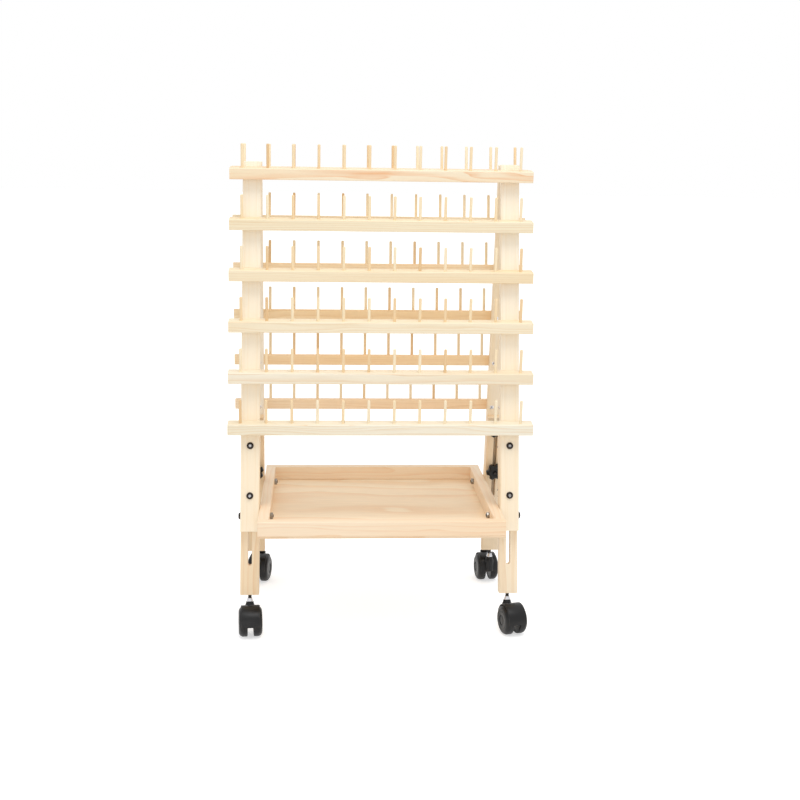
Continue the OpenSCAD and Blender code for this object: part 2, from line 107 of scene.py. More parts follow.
def blend_colours(tree, share, first, second, way="MIX"):
    """Two colours mixed by a share. The node's sockets 6 and 7 are its pair of colours."""
    settings = {"data_type": "RGBA", "blend_type": way}
    return put(tree, "ShaderNodeMix", settings, {0: share, 6: first, 7: second}).outputs[2]


def noise(tree, place, scale, detail=2.0, rough=0.5, part="Fac"):
    """Soft random variation over a place, finer as the scale grows."""
    return put(tree, "ShaderNodeTexNoise", None,
               {"Vector": place, "Scale": scale, "Detail": detail, "Roughness": rough}).outputs[part]


def surface(name):
    """A new material and its shader, with nothing linked to it yet."""
    material = bpy.data.materials.new(name)
    material.use_nodes = True
    tree = material.node_tree
    tree.nodes.clear()
    shader = put(tree, "ShaderNodeBsdfPrincipled")
    put(tree, "ShaderNodeOutputMaterial", None, {"Surface": shader.outputs[0]})
    return material, tree, shader


def grain_turn(way):
    """The turn that brings a board's grain to the pattern's own Z."""
    return {"x": (0, -math.pi / 2, 0), "y": (math.pi / 2, 0, 0),
            "front": (LEAN, 0, 0), "back": (-LEAN, 0, 0)}[way]


def stretched(tree, place, scale):
    """A place stretched along some of its axes, so that a pattern on it runs long."""
    return put(tree, "ShaderNodeMapping", None, {"Vector": place, "Scale": scale}).outputs[0]


def vector_sums(tree, operation, first, second, output=0):
    """One step of arithmetic on vectors."""
    return put(tree, "ShaderNodeVectorMath", {"operation": operation}, {0: first, 1: second}).outputs[output]


def finish(tree, shader, base, roughness, height, depth, strength=0.5):
    """Links a colour, a roughness and a relief of some depth to a shader, with a dull sheen."""
    relief = {"Height": height, "Distance": depth, "Strength": strength}
    bump = put(tree, "ShaderNodeBump", None, relief).outputs[0]
    for label, value in (("Base Color", base), ("Roughness", roughness), ("Normal", bump)):
        tree.links.new(value, shader.inputs[label])
    shader.inputs["Specular IOR Level"].default_value = 0.35


def pine(name, way, pith, early, late, ring, strength, warp):
    """Planed pine. The board is cut from a log whose pith lies at the given place, so that its
    rings show as straight lines or as long arches on the faces and as arcs on the ends. A ring is
    one year's growth, the strength says how dark its late wood is, and the warp how far it strays."""
    material, tree, shader = surface(name)
    early, late = colour(*early), colour(*late)
    board = put(tree, "ShaderNodeMapping", None, {
        "Vector": put(tree, "ShaderNodeTexCoord").outputs["Object"],
        "Rotation": grain_turn(way), "Location": pith}).outputs[0]
    long_grain = stretched(tree, board, (1, 1, 0.13))
    fibres = stretched(tree, board, (1, 1, 0.022))

    bend = noise(tree, long_grain, 22, 2.5, 0.55, "Color")
    bend = vector_sums(tree, "SUBTRACT", bend, (0.5, 0.5, 0.5))
    bend = vector_sums(tree, "MULTIPLY", bend, (warp * 4,) * 3)
    flat = vector_sums(tree, "MULTIPLY", vector_sums(tree, "ADD", board, bend), (1, 1, 0))
    radius = vector_sums(tree, "LENGTH", flat, (0, 0, 0), "Value")
    age = sums(tree, "MULTIPLY", radius, 1 / ring)
    uneven = noise(tree, put(tree, "ShaderNodeCombineXYZ", None, {0: age}).outputs[0], 0.33, 1.0)
    age = sums(tree, "ADD", age, sums(tree, "MULTIPLY", uneven, 2.2))
    late_wood = grade(tree, sums(tree, "FRACT", age), [
        (0.0, 0.0), (0.42, 0.10), (0.80, 0.62), (0.93, 1.0), (1.0, 0.0)])

    streaks = grade(tree, noise(tree, fibres, 260), [(0.25, 0.45), (0.75, 1.0)])
    bold = sums(tree, "MULTIPLY", late_wood, streaks)
    base = blend_colours(tree, sums(tree, "MULTIPLY", bold, strength), early, late)
    warm = tuple(a * b for a, b in zip(early, (1.0, 0.95, 0.88, 1.0)))
    cloud = grade(tree, noise(tree, long_grain, 9), [(0.42, 0.0), (0.68, 1.0)])
    base = blend_colours(tree, sums(tree, "MULTIPLY", cloud, 0.55), base, warm, "MULTIPLY")
    fine = noise(tree, fibres, 1300, 3.0, 0.6)
    dust = grade(tree, fine, [(0.25, 0.95), (0.75, 1.0)])
    base = blend_colours(tree, 1.0, base, dust, "MULTIPLY")
    resin = grade(tree, noise(tree, fibres, 620, 1.0, 0.4), [(0.70, 0.0), (0.76, 1.0)])
    base = blend_colours(tree, sums(tree, "MULTIPLY", resin, 0.22), base, late)

    gloss = sums(tree, "ADD", sums(tree, "MULTIPLY", fine, 0.16), 0.42)
    gloss = sums(tree, "SUBTRACT", gloss, sums(tree, "MULTIPLY", late_wood, 0.06))
    height = sums(tree, "ADD", sums(tree, "MULTIPLY", fine, 0.7), sums(tree, "MULTIPLY", late_wood, 0.5))
    finish(tree, shader, base, gloss, height, 0.00006, 0.6)
    return material


def smooth_mesh(name, shape, sharp=35):
    """Turns a bmesh into a mesh, smooth except where two faces meet at more than an angle."""
    limit = math.radians(sharp)
    bmesh.ops.recalc_face_normals(shape, faces=shape.faces)
    for face in shape.faces:
        face.smooth = True
    for edge in shape.edges:
        edge.smooth = len(edge.link_faces) == 2 and edge.calc_face_angle(0) < limit
    mesh = bpy.data.meshes.new(name)
    shape.to_mesh(mesh)
    shape.free()
    return mesh


def new_piece(name, mesh, material=None):
    """A piece of the scene from a mesh."""
    piece = bpy.data.objects.new(name, mesh)
    scene.collection.objects.link(piece)
    if material:
        mesh.materials.append(material)
    return piece


def settle(piece, node, body):
    """Puts a piece in a CAD node's place and the body it moves with."""
    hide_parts(node)
    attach(piece, body)


def eased(node, material, body, easing=0.0009):
    """A board with a CAD node's exact shape, whose long edges are sanded round."""
    shape = bmesh.new()
    shape.from_mesh(nodes[node].data)
    bmesh.ops.remove_doubles(shape, verts=shape.verts, dist=1e-6)
    bmesh.ops.dissolve_limit(shape, angle_limit=math.radians(0.5), verts=shape.verts, edges=shape.edges)
    arrises = [e for e in shape.edges if e.calc_length() > LONG_EDGE and len(e.link_faces) == 2
               and e.calc_face_angle() > math.radians(50)]
    bmesh.ops.bevel(shape, geom=arrises, offset=easing, segments=2, affect="EDGES", profile=0.5,
                    clamp_overlap=True)
    bmesh.ops.dissolve_degenerate(shape, dist=2e-5, edges=shape.edges)
    bmesh.ops.triangulate(shape, faces=shape.faces)
    mesh = smooth_mesh("eased_" + node, shape, 20)
    settle(new_piece(mesh.name, mesh, material), node, body)


def upright_pith(sign, spread, near, far):
    """A place for the pith of an upright's log, off to one side and some way behind its face."""
    return (chance.uniform(-spread, spread) - sign * POST_HALF_SPREAD, chance.uniform(near, far),
            chance.uniform(0, 3))


for side in SIDES:
    for hand, sign in HANDS.items():
        grain = pine(f"post_pine_{side}_{hand}", side, upright_pith(sign, 0.02, 0.09, 0.16),
                     POST_EARLY, POST_LATE, ring=0.0026, strength=0.3, warp=0.002)
        eased(f"post_{side}_{hand}", grain, f"{side}_panel")


# Rails
# Twelve long rails of the same pine, each from its own plank, so that the grain and the tint differ from one
# to the next. The back rails' warmer, less blue tint is partly their own planks and partly painted warm
# shade. Each is screwed on from behind, and its top tilts outwards.
RAIL_ROWS = 6
RAIL_EARLY = {
    "front": [(249, 235, 209), (246, 233, 204), (248, 234, 205),
              (248, 235, 208), (247, 238, 218), (246, 239, 220)],
    # The back rails' warmer, less blue tint is partly their own planks and partly painted warm shade.
    "back": [(251, 233, 203), (250, 234, 204), (252, 233, 202),
             (252, 233, 201), (253, 233, 200), (254, 232, 202)]}
RAIL_LATE = [(238, 176, 122), (228, 193, 146), (229, 194, 148),
             (232, 200, 152), (230, 190, 143), (231, 198, 152)]
for side in SIDES:
    for row in range(RAIL_ROWS):
        low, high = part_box(f"rail_{side}_{row + 1}")
        middle = (low + high) / 2
        reach = chance.uniform(0.015, 0.05)
        turn = chance.uniform(0, 2 * math.pi)
        pith = (middle.z + reach * math.cos(turn), -middle.y + reach * math.sin(turn),
                chance.uniform(0, 5))
        grain = pine(f"rail_pine_{side}_{row + 1}", "x", pith, RAIL_EARLY[side][row], RAIL_LATE[row],
                     ring=chance.uniform(0.0026, 0.0042), strength=0.62 if row else 0.8, warp=0.0045)
        eased(f"rail_{side}_{row + 1}", grain, f"{side}_panel")


# Pegs
# 144 straight hardwood pegs, each turned with a blunt, rounded tip, and glued into a hole in its
# rail. They stand square to the rail's tilted top, at one pitch along it.
HINGE_HEIGHT = joints["fold"]["pos_m"][2]
RAIL_SLOPE = math.radians(17)
PEG_LEAN = RAIL_SLOPE - LEAN
RAIL_FIRST = 0.0035
RAIL_PITCH = 0.0868
POST_OUTER = 0.019
PEG_INSET = 0.0155
PEG_PITCH = 0.0434
PEGS_ON_A_RAIL = 12
PEG_RADIUS = 0.0025
PEG_TENON = 0.0022
PEG_EXPOSED = 0.041
PEG_EMBED = 0.013


def panel_frame(side):
    """A panel's own frame: the origin on the hinge pin, Z up the posts and +Y outwards."""
    lean = Matrix.Translation((0, 0, HINGE_HEIGHT)) @ Matrix.Rotation(LEAN, 4, "X")
    return Matrix.Scale(-1, 4, (0, 1, 0)) @ lean if side == "front" else lean


def bridge(shape, loops):
    """Closes the gap between each loop of points and the next with four-sided faces."""
    for one, two in zip(loops, loops[1:]):
        for i in range(len(one)):
            j = (i + 1) % len(one)
            shape.faces.new((one[i], one[j], two[j], two[i]))


def turned(name, rings, sides=32, bored=False, sharp=35):
    """A closed mesh round Z. Rings are (radius, height), or (radius, height, outline) where the
    outline scales the radius by the angle. A bored piece joins its last ring to its first."""
    shape = bmesh.new()
    loops = []
    for radius, height, *outline in rings:
        loop = []
        for angle in (2 * math.pi * i / sides for i in range(sides)):
            reach = radius * (outline[0](angle) if outline else 1)
            loop.append(shape.verts.new((reach * math.cos(angle), reach * math.sin(angle), height)))
        loops.append(loop)
    bridge(shape, loops + loops[:1] if bored else loops)
    if not bored:
        shape.faces.new(reversed(loops[0]))
        shape.faces.new(loops[-1])
    return smooth_mesh(name, shape, sharp)


def set_out_tree():
    """Geometry Nodes that set one piece on every point of a mesh, each turned a little at random
    round its own axis and with a shade of its own."""
    tree = bpy.data.node_groups.new("set_out", "GeometryNodeTree")
    face = tree.interface
    face.new_socket("Geometry", in_out="OUTPUT", socket_type="NodeSocketGeometry")
    for label, kind in (("Geometry", "Geometry"), ("Piece", "Object"), ("Stand", "Rotation"),
                        ("Turn", "Float"), ("Seed", "Int"), ("Finish", "Material")):
        face.new_socket(label, in_out="INPUT", socket_type="NodeSocket" + kind)
    given = put(tree, "NodeGroupInput").outputs
    piece = put(tree, "GeometryNodeObjectInfo", inputs={"Object": given["Piece"]}).outputs["Geometry"]
    half = sums(tree, "MULTIPLY", given["Turn"], -1.0)
    angle = put(tree, "FunctionNodeRandomValue", {"data_type": "FLOAT"},
                {2: half, 3: given["Turn"], "Seed": given["Seed"]}).outputs[1]
    spin = put(tree, "ShaderNodeCombineXYZ", None, {2: angle}).outputs[0]
    spin = put(tree, "FunctionNodeEulerToRotation", None, {0: spin}).outputs[0]
    stand = put(tree, "FunctionNodeRotateRotation", {"rotation_space": "LOCAL"},
                {0: given["Stand"], 1: spin}).outputs[0]
    placed = put(tree, "GeometryNodeInstanceOnPoints", None,
                 {"Points": given["Geometry"], "Instance": piece, "Rotation": stand}).outputs[0]
    shade = put(tree, "FunctionNodeRandomValue", {"data_type": "FLOAT"},
                {"Seed": given["Seed"]}).outputs[1]
    stored = put(tree, "GeometryNodeStoreNamedAttribute", {"data_type": "FLOAT", "domain": "INSTANCE"},
                 {"Geometry": placed, "Name": "shade", "Value": shade}).outputs[0]
    real = put(tree, "GeometryNodeRealizeInstances", None, {0: stored}).outputs[0]
    done = put(tree, "GeometryNodeSetMaterial", None,
               {"Geometry": real, "Material": given["Finish"]}).outputs[0]
    put(tree, "NodeGroupOutput", None, {0: done})
    return tree


SET_OUT = set_out_tree()


def set_out(name, mesh, places, stand, material, turn=0.0, seed=1):
    """Sets a mesh on every place by the tree above, and returns the result as a plain piece."""
    pattern = new_piece(name + "_pattern", mesh)
    points = bpy.data.meshes.new(name + "_places")
    points.from_pydata([tuple(p) for p in places], [], [])
    piece = new_piece(name, points)
    modifier = piece.modifiers.new("set_out", "NODES")
    modifier.node_group = SET_OUT
    values = {"Piece": pattern, "Stand": stand, "Turn": turn, "Seed": seed, "Finish": material}
    for item in SET_OUT.interface.items_tree:
        if item.in_out == "INPUT" and item.name in values:
            modifier[item.identifier] = values[item.name]
    piece.update_tag()
    evaluated = piece.evaluated_get(bpy.context.evaluated_depsgraph_get())
    result = bpy.data.meshes.new_from_object(evaluated)
    piece.modifiers.remove(modifier)
    piece.data = result
    bpy.data.objects.remove(pattern)
    result.name = name
    return piece


PEG_SHADES = [(0.0, (253, 238, 208)), (0.45, (251, 230, 192)), (0.8, (246, 216, 172)),
              (1.0, (234, 198, 150))]


def dowel(name, tilt):
    """A turned hardwood peg: close straight fibres, each peg with a tint of its own."""
    material, tree, shader = surface(name)
    place = put(tree, "ShaderNodeTexCoord").outputs["Object"]
    along = put(tree, "ShaderNodeMapping", None, {"Vector": place, "Rotation": (tilt, 0, 0)}).outputs[0]
    fine = noise(tree, stretched(tree, along, (1, 1, 0.03)), 1800, 3.0, 0.6)
    shade = put(tree, "ShaderNodeAttribute", {"attribute_name": "shade"}).outputs["Fac"]
    own = grade(tree, shade, [(at, colour(*tint)) for at, tint in PEG_SHADES], "LINEAR")
    base = blend_colours(tree, 1.0, own, grade(tree, fine, [(0.3, 0.88), (0.7, 1.0)]), "MULTIPLY")
    gloss = sums(tree, "ADD", sums(tree, "MULTIPLY", fine, 0.2), 0.42)
    finish(tree, shader, base, gloss, fine, 0.00005)
    return material


peg_mesh = turned("peg", [
    (PEG_TENON, -PEG_EMBED), (PEG_TENON, 0), (PEG_RADIUS, 0), (PEG_RADIUS, PEG_EXPOSED - 0.0016),
    (PEG_RADIUS * 0.92, PEG_EXPOSED - 0.0008), (PEG_RADIUS * 0.72, PEG_EXPOSED - 0.0002),
    (PEG_RADIUS * 0.4, PEG_EXPOSED)], 14)
for side, outwards, seed in (("front", -1, 5), ("back", 1, 8)):
    places = [panel_frame(side) @ Vector((
        (i - (PEGS_ON_A_RAIL - 1) / 2) * PEG_PITCH,
        POST_OUTER + PEG_INSET * math.cos(RAIL_SLOPE),
        RAIL_FIRST - RAIL_PITCH * row - PEG_INSET * math.sin(RAIL_SLOPE)))
        for row in range(RAIL_ROWS) for i in range(PEGS_ON_A_RAIL)]
    pegs = set_out(f"turned_pegs_{side}", peg_mesh.copy(), places, (-outwards * PEG_LEAN, 0, 0),
                   dowel(f"dowel_{side}", outwards * PEG_LEAN), math.pi, seed)
    settle(pegs, f"pegs_{side}", f"{side}_panel")


# Sliding legs
# Four legs of the posts' pine behind the posts, each with a long slot for the two clamp bolts,
# cut level at its foot where the caster's stem goes in.
LEG_EARLY = (248, 231, 204)
LEG_LATE = (236, 200, 154)
for side in SIDES:
    for hand, sign in HANDS.items():
        grain = pine(f"leg_pine_{side}_{hand}", side, upright_pith(sign, 0.03, 0.06, 0.12),
                     LEG_EARLY, LEG_LATE, ring=0.0044, strength=0.6, warp=0.003)
        eased(f"leg_{side}_{hand}", grain, f"{side}_{hand}_leg")


# Tray
# A shallow tray: two cross boards glued over the ends of two side boards, and a thin plywood
# floor nailed up under them, whose face veneer has a broad, warm figure.
TRAY_EARLY = (250, 229, 201)
TRAY_LATE = (240, 196, 150)
VENEER_EARLY = (254, 234, 204)
VENEER_LATE = (244, 203, 158)
CORE = (196, 150, 102)
for board, way in (("front", "x"), ("back", "x"), ("left", "y"), ("right", "y")):
    low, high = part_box(f"tray_{board}_board")
    middle = (low + high) / 2
    across = (middle.z, -middle.y) if way == "x" else (-middle.x, middle.z)
    pith = (across[0] + chance.uniform(-0.02, 0.02), across[1] + chance.uniform(0.03, 0.06),
            chance.uniform(0, 4))
    grain = pine(f"tray_pine_{board}", way, pith, TRAY_EARLY, TRAY_LATE,
                 ring=0.0032, strength=0.55, warp=0.004)
    eased(f"tray_{board}_board", grain, "front_panel")


def plywood(name, top, thickness):
    """Thin plywood: a rotary-cut face with broad wandering figure, and three plies on its edges."""
    material, tree, shader = surface(name)
    place = put(tree, "ShaderNodeTexCoord").outputs["Object"]
    apart = put(tree, "ShaderNodeSeparateXYZ", None, {0: place}).outputs
    drift = noise(tree, stretched(tree, place, (0.22, 1, 0)), 5.5, 3.0)
    wander = sums(tree, "ADD", sums(tree, "MULTIPLY", drift, 7.0), sums(tree, "MULTIPLY", apart["Y"], 14.0))
    figure = grade(tree, sums(tree, "FRACT", wander), [
        (0.0, 0.0), (0.5, 0.2), (0.85, 0.8), (0.95, 1.0), (1.0, 0.0)])
    fine = noise(tree, stretched(tree, place, (0.03, 1, 1)), 900, 3.0, 0.6)
    figure = sums(tree, "MULTIPLY", figure, 0.5)
    base = blend_colours(tree, figure, colour(*VENEER_EARLY), colour(*VENEER_LATE))
    base = blend_colours(tree, 1.0, base, grade(tree, fine, [(0.3, 0.90), (0.7, 1.0)]), "MULTIPLY")
    depth = sums(tree, "DIVIDE", sums(tree, "SUBTRACT", top, apart["Z"]), thickness)
    core = grade(tree, depth, [
        (0.0, 0.0), (0.27, 0.0), (0.33, 1.0), (0.67, 1.0), (0.73, 0.0), (1.0, 0.0)], "LINEAR")
    base = blend_colours(tree, sums(tree, "MULTIPLY", core, 0.7), base, colour(*CORE))
    gloss = sums(tree, "ADD", sums(tree, "MULTIPLY", fine, 0.15), 0.45)
    finish(tree, shader, base, gloss, fine, 0.00005)
    return material


floor_low, floor_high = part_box("tray_floor")
eased("tray_floor", plywood("tray_plywood", floor_high.z, floor_high.z - floor_low.z),
      "front_panel", 0.0003)


# Tray nails
# Short flat-headed nails of dull zinc-plated wire, driven up through the plywood into the middle
# of each board.
NAIL_SPACING = 0.092
TRAY_BOARD = 0.018
WEAR = 0.1
# Lighter steel for the bolts' socket floors: partly wear, partly a painted glint.
WORN_STEEL_AND_PAINTED_GLINT = colour(196, 194, 192)


def metal(name, shade, rough):
    """Bright or dark metal with faint scuffs and handling marks. Where a piece marks it, a lighter steel
    colour is painted, which is partly wear and partly a painted glint.
    """
    material, tree, shader = surface(name)
    place = put(tree, "ShaderNodeTexCoord").outputs["Object"]
    scuff = noise(tree, place, 1400, 2.0, 0.6)
    cloud = grade(tree, noise(tree, place, 160, 3.0, 0.6), [(0.35, 0.0), (0.7, 1.0)])
    worn = tuple(channel * (1 - WEAR) for channel in shade[:3]) + (1.0,)
    tint = blend_colours(tree, cloud, shade, worn)
    # The lighter colour mixed in here is partly wear and partly a painted glint in the bolts' sockets.
    rubbed = put(tree, "ShaderNodeAttribute", {"attribute_name": "rubbed"}).outputs["Fac"]
    tint = blend_colours(tree, rubbed, tint, WORN_STEEL_AND_PAINTED_GLINT)
    gloss = sums(tree, "ADD", sums(tree, "MULTIPLY", scuff, 0.14), rough)
    finish(tree, shader, tint, gloss, scuff, 0.00003, 0.4)
    shader.inputs["Metallic"].default_value = 1.0
    return material


DULL_ZINC = metal("dull_zinc", colour(158, 154, 148), 0.34)
nail = turned("nail", [(0.0005, -0.003), (0.0005, -0.0002), (0.0011, -0.0001), (0.0011, 0.0001),
                       (0.0008, 0.0002)], 16)
reach_x, reach_y = floor_high.x - TRAY_BOARD / 2, floor_high.y - TRAY_BOARD / 2
spots = [(step * NAIL_SPACING, sign * reach_y) for step in range(-2, 3) for sign in (-1, 1)]
spots += [(sign * reach_x, step * NAIL_SPACING) for step in range(-1, 2) for sign in (-1, 1)]
nails = set_out("tray_nails", nail, [(x, y, floor_low.z) for x, y in spots], (math.pi, 0, 0),
                DULL_ZINC, math.pi, 12)
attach(nails, "front_panel")


# Clamp bolts and tray bolts
# Black furniture bolts with a low domed head and a hexagon socket. Two clamp each sliding leg to
# its post, with a washer under each knob, and one more on each post holds the tray.
BOLT_RADIUS = 0.003
HEAD_RADIUS = 0.006
HEAD_HEIGHT = 0.0035
CLAMP_LEVELS = {"lower": -0.559, "upper": -0.474}
WASHER_FACE = -0.0147
CLAMP_LENGTH = 0.0497
TRAY_BOLT_INSET = 0.011
TRAY_BOLT_LEVEL = -0.594
POST_HALF_WIDTH = 0.016
THREAD_DEPTH = 0.0003
THREAD_PITCH = 0.001
TRAY_BOLT_REACH = {"front": 0.0243, "back": 0}
TRAY_BOLT_THREAD = {"front": 0.006, "back": 0.003}
SOCKET_REACH = 0.0025
# How far the socket floors are painted lighter: partly wear, partly a painted glint.
SOCKET_WEAR_AND_GLINT = 0.55
BLACK_STEEL = metal("black_oxide_steel", colour(52, 48, 47), 0.16)


def hexagon(angle):
    """The outline of a hexagon, as a share of its corner's radius."""
    return math.cos(math.pi / 6) / math.cos(angle % (math.pi / 3) - math.pi / 6)


def threads(start, end):
    """Rings of a fine thread between two heights."""
    count = int((end - start) / THREAD_PITCH)
    rings = []
    for i in range(count):
        rings += [(BOLT_RADIUS, start + i * THREAD_PITCH),
                  (BOLT_RADIUS - THREAD_DEPTH, start + (i + 0.5) * THREAD_PITCH)]
    return rings


def bolt_mesh(name, length, threaded):
    """A bolt along Z, its head below the origin. Its socket floor is painted lighter steel: partly where the
    key has worn the black off, partly a painted glint.
    """
    mesh = turned(name, [
        (0.0023, -HEAD_HEIGHT + 0.0022, hexagon), (0.0023, -HEAD_HEIGHT + 0.0002, hexagon),
        (0.0026, -HEAD_HEIGHT, hexagon), (0.0034, -HEAD_HEIGHT + 0.00004), (0.0046, -HEAD_HEIGHT * 0.88),
        (0.0054, -HEAD_HEIGHT * 0.66), (0.0059, -HEAD_HEIGHT * 0.36), (HEAD_RADIUS, -HEAD_HEIGHT * 0.1),
        (HEAD_RADIUS * 0.99, 0), (BOLT_RADIUS, 0)] + threads(length - threaded, length - 0.0006)
        + [(BOLT_RADIUS * 0.8, length)], 24)
    rubbed = mesh.attributes.new("rubbed", "FLOAT", "FACE")
    for face, mark in zip(mesh.polygons, rubbed.data):
        inside = face.center.z < -HEAD_HEIGHT * 0.3 and face.center.xy.length < SOCKET_REACH
        mark.value = SOCKET_WEAR_AND_GLINT if inside else 0.0
    return mesh


def aim(direction):
    """The turn that points a mesh's Z along a direction."""
    return tuple(Vector(direction).to_track_quat("Z", "Y").to_euler())


def inwards(side):
    """The direction into the stand, square to a panel's posts."""
    return panel_frame(side).to_3x3() @ Vector((0, -1, 0))


def clamp_places(side, depth):
    """The places of a panel's four clamp bolts, so far outwards from the hinge pin."""
    return [panel_frame(side) @ Vector((sign * POST_HALF_SPREAD, depth, level))
            for sign in HANDS.values() for level in CLAMP_LEVELS.values()]


WASHER = turned("washer", [
    (BOLT_RADIUS + 0.0001, 0), (0.0088, 0), (0.009, 0.0002), (0.009, 0.0012), (0.0087, 0.0015),
    (0.0035, 0.0015), (BOLT_RADIUS + 0.0001, 0.0012)], 40, bored=True)
for side in SIDES:
    pieces = [
        set_out(f"clamp_bolts_{side}", bolt_mesh("clamp_bolt", CLAMP_LENGTH, 0.012),
                clamp_places(side, POST_OUTER), aim(inwards(side)), BLACK_STEEL, math.pi, 3),
        set_out(f"washers_{side}", WASHER.copy(), clamp_places(side, WASHER_FACE),
                aim(-inwards(side)), BLACK_STEEL, math.pi, 4)]
    length = 2 * POST_HALF_WIDTH + TRAY_BOLT_REACH[side]
    for hand, sign in HANDS.items():
        head = (sign * (POST_HALF_SPREAD + POST_HALF_WIDTH), TRAY_BOLT_INSET, TRAY_BOLT_LEVEL)
        pieces.append(set_out(
            f"tray_bolt_{side}_{hand}", bolt_mesh("tray_bolt", length, TRAY_BOLT_THREAD[side]),
            [panel_frame(side) @ Vector(head)], aim((-sign, 0, 0)), BLACK_STEEL, math.pi, 6 + sign))
    for piece in pieces:
        settle(piece, f"bolts_{side}", f"{side}_panel")


# Tray nuts
# Hexagon nuts of dull zinc-plated steel on the tray's inner sides. The two back ones hold the ends
# of their bolts, which part from the rest at the tray's side when the stand folds.
TRAY_HALF_WIDTH = floor_high.x
NUT_FLATS = 0.010
NUT_HEIGHT = 0.005
NUT_CORNER = NUT_FLATS / 2 / math.cos(math.pi / 6)
NUT_CHAMFER = NUT_FLATS / 2 * 0.985
STUD_START = 0.010
STUD_END = 0.024
NUT = turned("nut", [
    (BOLT_RADIUS + 0.00005, 0), (NUT_CHAMFER, 0), (NUT_CORNER, 0.0006, hexagon),
    (NUT_CORNER, NUT_HEIGHT - 0.0006, hexagon), (NUT_CHAMFER, NUT_HEIGHT),
    (BOLT_RADIUS + 0.0004, NUT_HEIGHT), (BOLT_RADIUS + 0.00005, NUT_HEIGHT - 0.0004)], 48, bored=True)
BOLT_END = turned("bolt_end", [(BOLT_RADIUS, 0)] + threads(STUD_START, STUD_END - 0.0004)
                  + [(BOLT_RADIUS * 0.8, STUD_END)], 24)
for hand, sign in HANDS.items():
    inner = (sign * (TRAY_HALF_WIDTH - TRAY_BOARD), TRAY_BOLT_INSET, TRAY_BOLT_LEVEL)
    outer = (sign * TRAY_HALF_WIDTH, TRAY_BOLT_INSET, TRAY_BOLT_LEVEL)
    nuts = set_out(f"nuts_{hand}", NUT.copy(), [panel_frame(side) @ Vector(inner) for side in SIDES],
                   aim((-sign, 0, 0)), DULL_ZINC, math.pi, 21 + sign)
    stud = set_out(f"bolt_end_{hand}", BOLT_END.copy(), [panel_frame("back") @ Vector(outer)],
                   aim((-sign, 0, 0)), BLACK_STEEL, 0.0, 2)
    settle(nuts, "tray_nuts", "front_panel")
    settle(stud, "tray_nuts", "front_panel")


# Star knobs
# Eight six-lobed knobs of black nylon, each moulded in one piece and screwed onto a clamp bolt
# behind its sliding leg.
KNOB_RADIUS = 0.016
KNOB_HEIGHT = 0.014
KNOB_NECK = 0.0088
KNOB_WAIST = 0.0042
KNOB_LOBES = 6
SCALLOP_PLACE = 1.14
SCALLOP_RADIUS = 0.36
NYLON_DUST = 1.9


def moulded(name, shade, rough):
    """Moulded black nylon: a fine matt grain, with faint lighter dusty patches at random."""
    material, tree, shader = surface(name)
    place = put(tree, "ShaderNodeTexCoord").outputs["Object"]
    dust = grade(tree, noise(tree, place, 70, 3.0, 0.6), [(0.40, 0.0), (0.75, 0.5)])
    dusty = tuple(channel * NYLON_DUST for channel in shade[:3]) + (1.0,)
    pebble = noise(tree, place, 2600, 1.0)
    gloss = sums(tree, "ADD", sums(tree, "MULTIPLY", pebble, 0.12), rough)
    finish(tree, shader, blend_colours(tree, dust, shade, dusty), gloss, pebble, 0.00004)
    return material


BLACK_NYLON = moulded("black_nylon", colour(10, 9, 10), 0.32)


def lobes(angle):
    """The outline of the knob: a circle with a scallop between each two lobes."""
    step = 2 * math.pi / KNOB_LOBES
    off = (angle % step) - step / 2
    miss = SCALLOP_PLACE * math.sin(off)
    if abs(miss) >= SCALLOP_RADIUS:
        return 1.0
    return min(1.0, SCALLOP_PLACE * math.cos(off) - math.sqrt(SCALLOP_RADIUS ** 2 - miss ** 2))


KNOB = turned("star_knob", [
    (0.00305, 0), (KNOB_NECK - 0.0006, 0), (KNOB_NECK, 0.0006), (KNOB_NECK, KNOB_WAIST - 0.0006),
    (KNOB_NECK + 0.0006, KNOB_WAIST), (KNOB_RADIUS - 0.0018, KNOB_WAIST, lobes),
    (KNOB_RADIUS - 0.0005, KNOB_WAIST + 0.0006, lobes), (KNOB_RADIUS, KNOB_WAIST + 0.0018, lobes),
    (KNOB_RADIUS, KNOB_HEIGHT - 0.0035, lobes), (KNOB_RADIUS - 0.0006, KNOB_HEIGHT - 0.0018, lobes),
    (KNOB_RADIUS - 0.0020, KNOB_HEIGHT - 0.0007, lobes), (KNOB_RADIUS - 0.0042, KNOB_HEIGHT - 0.0001, lobes),
    (KNOB_NECK, KNOB_HEIGHT), (0.0066, KNOB_HEIGHT - 0.0001), (0.0062, KNOB_HEIGHT - 0.0008),
    (0.0050, KNOB_HEIGHT - 0.0009), (0.0049, KNOB_HEIGHT - 0.0004), (0.0036, KNOB_HEIGHT - 0.0003),
    (0.00305, KNOB_HEIGHT - 0.0008)], 96, bored=True)
for side in SIDES:
    for hand, sign in HANDS.items():
        for level, height in CLAMP_LEVELS.items():
            spot = panel_frame(side) @ Vector((sign * POST_HALF_SPREAD, WASHER_FACE, height))
            knob = set_out(f"star_knob_{side}_{hand}_{level}", KNOB.copy(), [spot], aim(inwards(side)),
                           BLACK_NYLON, math.pi, chance.randrange(1000))
            settle(knob, f"knob_{side}_{hand}_{level}", f"{side}_{hand}_{level}_knob")


# Hinges
# Two bright-plated steel butt hinges, one between each pair of posts. Their leaves are pressed
# from sheet and rolled round a pin.
BRIGHT_STEEL = metal("bright_steel", colour(214, 214, 218), 0.16)
for side in SIDES:
    eased(f"hinge_leaves_{side}", BRIGHT_STEEL, f"{side}_panel", 0.0002)


